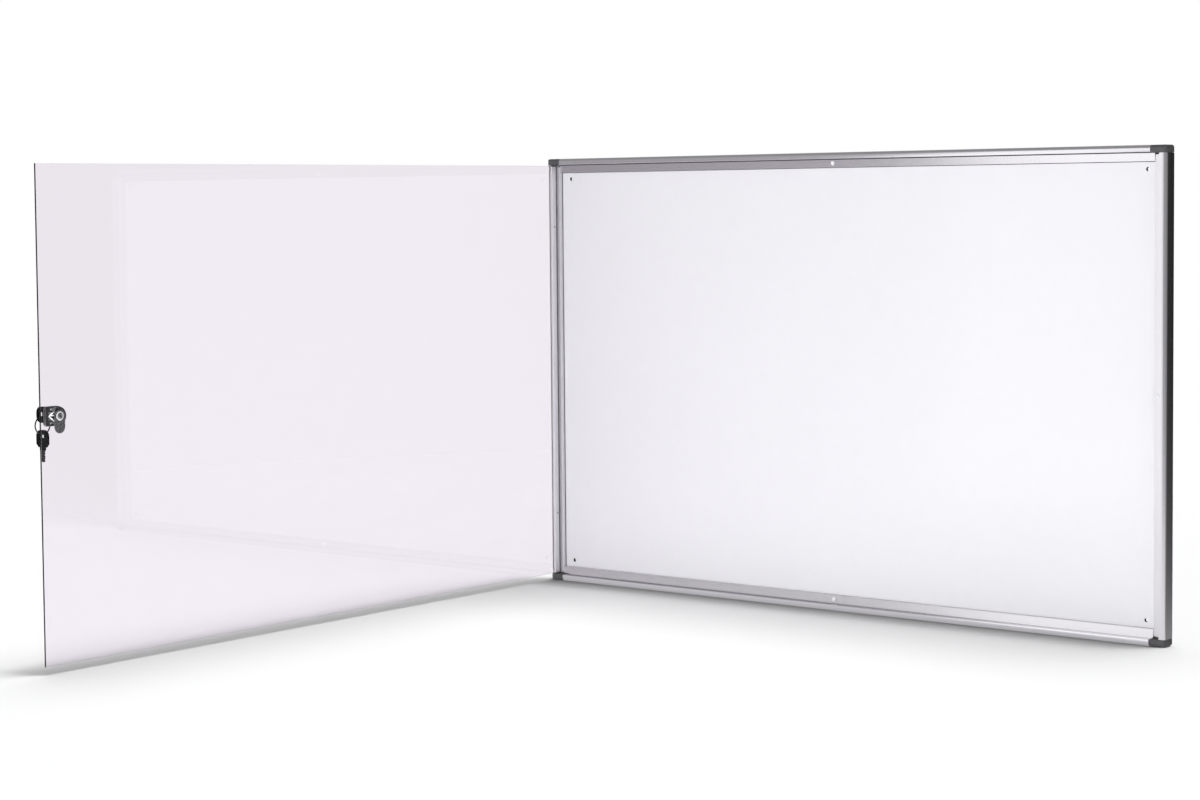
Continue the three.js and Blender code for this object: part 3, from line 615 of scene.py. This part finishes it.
def socket_screw(node, socket, depth, crown):
    """A screw head with a six-sided socket, turned about X.

    On the socket's rows the distance from the middle is socket * cos 30 / cos(v mod 60 - 30),
    and on the rest it is the outline's radius. The crown is an arc down to the rim.
    """
    low, high = box_mm(node)
    base, radius, height = middle(node), (high[1] - low[1]) / 2, high[0] - low[0]
    base[0] = low[0]
    mouth, lip, lip_drop, bevel = 0.15, 0.3, 0.02, 0.1
    crown_start = socket + lip + bevel
    spoke, v = spokes((1, 0, 0), 72)
    hexagon = socket * np.cos(np.pi / 6) / np.cos(v % (np.pi / 3) - np.pi / 6)
    t = np.linspace(0, 1, 7)
    dome = zip(crown_start + (radius - crown_start) * t, height - crown * t ** 2)
    round_rows = [(socket + lip, height - lip_drop), *dome, (radius, bevel), (radius - bevel, 0), (0, 0)]
    rows = [np.zeros_like(v), hexagon, hexagon] + [np.full_like(v, r) for r, _ in round_rows]
    heights = np.array([height - depth, height - depth, height - mouth] + [h for _, h in round_rows])
    points = base + heights[:, None, None] * np.array([1.0, 0, 0]) + np.stack(rows)[:, :, None] * spoke
    stands_for(grid_piece(node + "_head", points), node)


def cam_washer():
    """A flat ring with a rolled rim."""
    low, high = box_mm("cam_washer")
    outer, inner, thick = (high[1] - low[1]) / 2, 2.2, high[0] - low[0]
    bevel, roll = 0.1, 1.1
    t = np.linspace(0, np.pi, 9)
    rolled = zip(outer - roll / 2 + roll / 2 * np.cos(t), bevel + (thick - bevel) * np.sin(t))
    outline = [(inner, bevel), (inner + bevel, 0), (outer - bevel, 0), *rolled, (inner, bevel + 0.1)]
    turned_on_lock("cam_washer", middle("cam_washer"), outline)


SUNK = 0.05


def nose_front(y):
    """The X of the nose's front at y from the lock's axis: level, a step, then a ramp to the plate.

    With the door shut this stays in front of the lock stile's ledge and its bumper.
    """
    step_start, step_end, ramp_end, step_depth, ramp_depth = 11.2, 11.9, 15.2, 2.1, 3.75
    depth = np.interp(-y, (step_start, step_end, ramp_end), (0, step_depth, ramp_depth))
    return box_mm("lock_block")[1][0] - depth


def on_block(name, path, half_width, height, material):
    """A half-round rib along a path (y, z) from the lock's axis, on the boss and its nose.

    The path is cut finer first, so that the rib follows the nose's slope. A section point lies
    at path + half_width cos t * mitre in YZ, and height sin t above the front, less the sinking.
    """
    path, axis, cuts = np.array(path, float), middle("lock_cylinder"), 12
    corner = np.arange(len(path))
    finer = np.linspace(0, corner[-1], corner[-1] * cuts + 1)
    path = np.stack([np.interp(finer, corner, path[:, k]) for k in (0, 1)], axis=1)
    steps = np.diff(path, axis=0)
    steps /= np.linalg.norm(steps, axis=1)[:, None]
    before, after = np.vstack([steps[:1], steps]), np.vstack([steps, steps[-1:]])
    normals = np.stack([-(before + after)[:, 1], (before + after)[:, 0]], axis=1)
    normals /= (1 + (before * after).sum(axis=1))[:, None]
    t = np.linspace(0, np.pi, 9)
    yz = path[:, None, :] + half_width * np.cos(t)[None, :, None] * normals[:, None, :]
    x = nose_front(yz[:, :, 0]) - SUNK + height * np.sin(t)
    made = grid_piece(name, np.dstack([x, axis[1:] + yz]), capped=True)
    goes_with(made, "lock_block", material)


def boss_nose():
    """The boss's nose, sloping down toward the pane's free edge, with its polished rim and rib.

    Each section across the nose is (y from the axis, half width), bevelled along its two edges.
    """
    depth, widest_bevel, points = 3.95, 0.4, []
    axis, foot = middle("lock_cylinder"), box_mm("lock_block")[1][0] - depth
    for y, half in ((-7.5, 7.0), (-11.2, 5.6), (-11.9, 4.5), (-15.1, 1.1), (-15.3, 0.5)):
        top = nose_front(y) - SUNK
        bevel = min(widest_bevel, (top - foot) / 2)
        section = [(foot, half), (top - bevel, half), (top, half - bevel)]
        section += [(x, -z) for x, z in reversed(section)]
        points.append([(x, axis[1] + y, axis[2] + z) for x, z in section])
    goes_with(grid_piece("boss_nose", np.array(points), capped=True), "lock_block", SATIN_CHROME)
    # A black strip on the boss: painted shade for the dark recess behind the cam.
    on_block("boss_recess_shade", [(-12.8, 0), (-9.0, 0)], 2.8, 0.1, RUBBER)
    on_block("boss_rim", [(-8.2, 6.3), (-11.2, 4.4), (-11.9, 3.0), (-14.2, 0.2),
                          (-11.9, -2.8), (-11.2, -4.4), (-8.2, -6.3)], 0.62, 0.28, POLISHED_RIM)
    on_block("boss_rib", [(-13.8, 0.9), (-8.8, 1.6)], 0.8, 0.26, POLISHED_RIM)


def split_ring():
    """A key ring wound as two turns of flat wire, side by side.

    The middle of the wire runs through centre + R (cos s, sin s) in the YZ plane and at
    X = -+w, where it crosses from one side to the other after one turn. The section is the
    superellipse (w cos^p q, h sin^p q).
    """
    low, high = box_mm("key_ring")
    centre, half_wire = middle("key_ring"), (high[0] - low[0]) / 2
    radius = (high[1] - low[1]) / 2 - half_wire
    half_gap, crossing, power, play = 0.015, 0.3, 0.6, 0.02
    half_width = half_wire / 2 - half_gap
    s = np.linspace(crossing / 2 + play, 4 * np.pi - crossing / 2 - play, 260)
    across = np.clip((s - 2 * np.pi) / crossing + 0.5, 0, 1)
    shift = half_wire / 2 * (2 * (3 * across ** 2 - 2 * across ** 3) - 1)
    q = np.linspace(0, 2 * np.pi, 16, endpoint=False)
    flat = half_width * np.sign(np.cos(q)) * np.abs(np.cos(q)) ** power
    tall = half_wire * np.sign(np.sin(q)) * np.abs(np.sin(q)) ** power
    reach = radius + tall[None, :] * np.ones_like(s)[:, None]
    x = shift[:, None] + flat[None, :]
    points = centre + np.stack([x, reach * np.sin(s)[:, None], reach * np.cos(s)[:, None]], axis=2)
    stands_for(grid_piece("key_ring_wound", points, capped=True), "key_ring")


lock_body()
socket_screw("cam_screw", 2.0, 1.0, 0.45)
cam_washer()
boss_nose()
for number in ("1", "2"):
    socket_screw("clamp_screw_" + number, 0.9, 1.2, 0.2)
    socket_screw("jaw_screw_" + number, 0.85, 1.1, 0.2)
split_ring()

# Stage, light and camera

FLOOR_LEVEL = -0.35

# Brightness of the studio's walls by azimuth in degrees, from the front (0) to the right (90)
# and the back (180). It is dim at the back right, where the photographed frame's side is dark.
WALL_BRIGHTNESS = (
    (-180, 0.5), (-90, 0.45), (-40, 0.4), (0, 0.38), (60, 0.3), (100, 0.24), (126, 0.1),
    (146, 0.015), (166, 0.01), (179, 0.45))
CEILING_BRIGHTNESS = 0.3


def azimuth_share(tree, vector):
    """The azimuth of a direction as a share of a turn: atan2(x, -y) / (2 pi) + 0.5."""
    parts = tree.nodes.new("ShaderNodeSeparateXYZ")
    tree.links.new(vector, parts.inputs["Vector"])
    forward = math_node(tree, "MULTIPLY", parts.outputs["Y"], -1.0)
    angle = math_node(tree, "ARCTAN2", parts.outputs["X"], forward)
    return math_node(tree, "MULTIPLY_ADD", angle, 0.5 / math.pi, 0.5)


def ray_kinds(tree):
    """Two sockets, each 0 or 1: the ray is seen straight or through the pane; it is a reflection."""
    rays = tree.nodes.new("ShaderNodeLightPath").outputs
    seen = math_node(tree, "MAXIMUM", rays["Is Camera Ray"], rays["Is Transmission Ray"])
    return seen, math_node(tree, "MINIMUM", rays["Glossy Depth"], 1.0)


def studio_walls_group():
    """How bright the studio's walls look in reflections, by the azimuth of a direction."""
    tree, start, end = new_group("studio walls", (), ["Brightness"])
    ramp = tree.nodes.new("ShaderNodeValToRGB")
    elements = ramp.color_ramp.elements
    while len(elements) > 1:
        elements.remove(elements[-1])
    for number, (degrees, value) in enumerate(WALL_BRIGHTNESS):
        place = degrees / 360 + 0.5
        element = elements[0] if number == 0 else elements.new(place)
        element.position = place
        element.color = (value, value, value, 1)
    tree.links.new(azimuth_share(tree, start.outputs["Vector"]), ramp.inputs["Fac"])
    tree.links.new(ramp.outputs["Color"], end.inputs["Brightness"])
    return tree


STUDIO_WALLS = studio_walls_group()


def stage_plane(name, corners):
    """A flat piece of the stage."""
    made = mesh_object(name, np.array(corners, float), [(0, 1, 2, 3)])
    made.data.polygons.foreach_set("use_smooth", [False])
    return made


def pale_floor():
    """A wide pale floor. Far off it is plain white, and in reflections it fades into the walls.

    Reflected, it also fades into the walls in a sector at the back right, measured as a share of
    a turn about the board's right end.
    """
    reach, near, far, paint = 40.0, 1.3, 2.6, (0.32, 0.32, 0.322, 1)
    sector_opens, sector_full, sector_shuts, sector_end = 0.62, 0.8, 0.97, 1.0
    seen_brightness, mirrored_brightness = 1.0, 0.9
    floor = stage_plane("floor", [(x * reach, y * reach, FLOOR_LEVEL)
                                  for x, y in ((-1, -1), (1, -1), (1, 1), (-1, 1))])
    material, tree, principled = new_material(
        "pale floor", Base_Color=paint, Roughness=0.9, Specular_IOR_Level=0.0)
    seen, reflected = ray_kinds(tree)
    place = object_place(tree)
    flat = vector_node(tree, "MULTIPLY", place, (1, 1, 0)).outputs["Vector"]
    distance = vector_node(tree, "LENGTH", flat).outputs["Value"]
    away = smooth_range(tree, distance, near, far)
    from_end = vector_node(tree, "SUBTRACT", place, (cad_box[1][0], 0, 0)).outputs["Vector"]
    turn = azimuth_share(tree, from_end)
    back_right = math_node(tree, "MULTIPLY", smooth_range(tree, turn, sector_opens, sector_full),
                           smooth_range(tree, turn, sector_shuts, sector_end, 1.0, 0.0))
    walls = group_node(tree, STUDIO_WALLS, place).outputs["Brightness"]
    faded = math_node(tree, "MAXIMUM", away, back_right)
    mirrored = mixed_value(tree, faded, mirrored_brightness, walls)
    half_faded = math_node(tree, "MULTIPLY_ADD", faded, 0.5, 0.5)
    plain = math_node(tree, "MULTIPLY", seen, away)
    glow = tree.nodes.new("ShaderNodeEmission")
    feed(tree, glow.inputs["Strength"], mixed_value(tree, reflected, seen_brightness, mirrored))
    both = tree.nodes.new("ShaderNodeMixShader")
    feed(tree, both.inputs["Fac"], mixed_value(tree, reflected, plain, half_faded))
    tree.links.new(principled.outputs["BSDF"], both.inputs[1])
    tree.links.new(glow.outputs["Emission"], both.inputs[2])
    tree.links.new(both.outputs["Shader"], tree.nodes["Material Output"].inputs["Surface"])
    floor.data.materials.append(material)
    return floor


def studio_world():
    """White behind everything, the studio's walls in reflections, and a soft even light."""
    overhead_start, overhead_full, wall_light, ceiling_light = 0.15, 0.7, 1.25, 0.5
    world = bpy.data.worlds.new("studio")
    bpy.context.scene.world = world
    world.use_nodes = True
    tree = world.node_tree
    back = tree.nodes["Background"]
    seen, reflected = ray_kinds(tree)
    direction = tree.nodes.new("ShaderNodeTexCoord").outputs["Generated"]
    height = tree.nodes.new("ShaderNodeSeparateXYZ")
    tree.links.new(direction, height.inputs["Vector"])
    overhead = smooth_range(tree, height.outputs["Z"], overhead_start, overhead_full)
    walls = group_node(tree, STUDIO_WALLS, direction).outputs["Brightness"]
    room = mixed_value(tree, overhead, walls, CEILING_BRIGHTNESS)
    lit_walls = math_node(tree, "MULTIPLY", walls, wall_light)
    soft = mixed_value(tree, overhead, lit_walls, ceiling_light)
    plain = mixed_value(tree, seen, soft, 1.0)
    back.inputs["Color"].default_value = (1, 1, 1, 1)
    tree.links.new(mixed_value(tree, reflected, plain, room), back.inputs["Strength"])


def hidden_from(made, *kinds):
    """The object can't be seen by the given kinds of rays."""
    for kind in kinds:
        setattr(made, "visible_" + kind, False)


def bright_card():
    """A bright card in front of the board, seen only as a reflection in its metal."""
    left, right, front, top, brightness = -0.50, 0.15, -1.2, 0.75, 1.25
    card = stage_plane("bright card", [(left, front, FLOOR_LEVEL), (right, front, FLOOR_LEVEL),
                                       (right, front, top), (left, front, top)])
    material, _, _ = new_material(
        "bright card", Base_Color=(0, 0, 0, 1), Specular_IOR_Level=0.0,
        Emission_Color=(1, 1, 1, 1), Emission_Strength=brightness)
    card.data.materials.append(material)
    hidden_from(card, "camera", "diffuse", "transmission", "shadow")


def linked_pieces(name, pieces):
    """A collection that a lamp's light linking reads."""
    made = bpy.data.collections.new(name)
    for piece in pieces:
        made.objects.link(piece)
    return made


def floor_sun(name, floor, power, width, from_behind, from_right):
    """A soft light from above, tipped by the given degrees, for the board's shadow on the floor.

    Its width in degrees says how soft the shadow's edge is.
    """
    sun = bpy.data.lights.new(name, "SUN")
    sun.energy = power
    sun.angle = math.radians(width)
    made = placed(name, sun)
    made.rotation_euler = (-math.radians(from_behind), math.radians(from_right), 0)
    made.light_linking.receiver_collection = linked_pieces(name + " lights", [floor])


def fill_lamp(name, place, aim, size, power, lit, shading):
    """A soft lamp (width, height) at place, facing aim, with the pieces it lights and is shaded by."""
    lamp = bpy.data.lights.new(name, "AREA")
    lamp.shape = "RECTANGLE"
    lamp.size, lamp.size_y = size
    lamp.energy = power
    made = placed(name, lamp)
    hidden_from(made, "camera", "glossy", "transmission")
    toward = np.array(aim, float) - np.array(place, float)
    made.location = place
    made.rotation_euler = Vector(toward.tolist()).to_track_quat("-Z", "Y").to_euler()
    made.light_linking.receiver_collection = linked_pieces(name + " lights", lit)
    made.light_linking.blocker_collection = linked_pieces(name + " shading", shading)


def photo_camera():
    """The camera solved from the board's and the door's edges in the photograph."""
    picture_width, picture_height, sensor_width, focal_pixels = 1200, 800, 36.0, 2560.1
    middle_column, middle_row = 516.0, 351.0
    place, yaw, pitch, roll = (2.1448, -3.3060, 0.2827), -0.7007, 0.0588, -0.0107
    camera = bpy.data.cameras.new("camera")
    camera.sensor_width = sensor_width
    camera.lens = focal_pixels / picture_width * sensor_width
    camera.shift_x = (picture_width / 2 - middle_column) / picture_width
    camera.shift_y = (middle_row - picture_height / 2) / picture_width
    camera.clip_end = 60
    ahead = (math.sin(yaw) * math.cos(pitch), math.cos(yaw) * math.cos(pitch), -math.sin(pitch))
    level = np.array([math.cos(yaw), -math.sin(yaw), 0])
    steep = np.cross(level, ahead)
    turn = np.eye(4)
    turn[:3, 0] = level * math.cos(roll) + steep * math.sin(roll)
    turn[:3, 1] = steep * math.cos(roll) - level * math.sin(roll)
    turn[:3, 2] = -np.array(ahead)
    turn[:3, 3] = place
    made = placed("camera", camera)
    made.matrix_world = Matrix(turn.tolist())
    bpy.context.scene.camera = made


def named(pieces, *starts):
    """The pieces whose names begin with one of the given words."""
    return [piece for piece in pieces if piece.name.startswith(starts)]


object_pieces = [piece for piece in bpy.context.scene.objects if piece.type == "MESH"]
side_lit = named(object_pieces, "boss_ri", "hinge_profile", "cam_washer")
clear_pieces = named(object_pieces, "door_pane")
shading_pieces = [piece for piece in object_pieces if piece not in clear_pieces]
floor = pale_floor()
studio_world()
bright_card()
floor_sun("narrow floor sun", floor, 3.1, 6, 3.5, 5)
floor_sun("wide floor sun", floor, 5.3, 36, 11, 0)
for name, place, aim, size, power, lit in (
        ("front fill", (-1.0, -2.9, -0.1), (-0.1, 0, 0), (2.6, 1.8), 27, object_pieces),
        ("low fill", (-0.1, -1.5, -0.28), (0, 0, -0.2), (2.4, 0.12), 8, object_pieces),
        ("side fill", (1.2, -1.9, 0.2), (-0.54, -0.9, 0), (0.9, 0.9), 17, side_lit)):
    fill_lamp(name, place, aim, size, power, lit, shading_pieces)
photo_camera()
bpy.context.scene.view_settings.view_transform = "Standard"
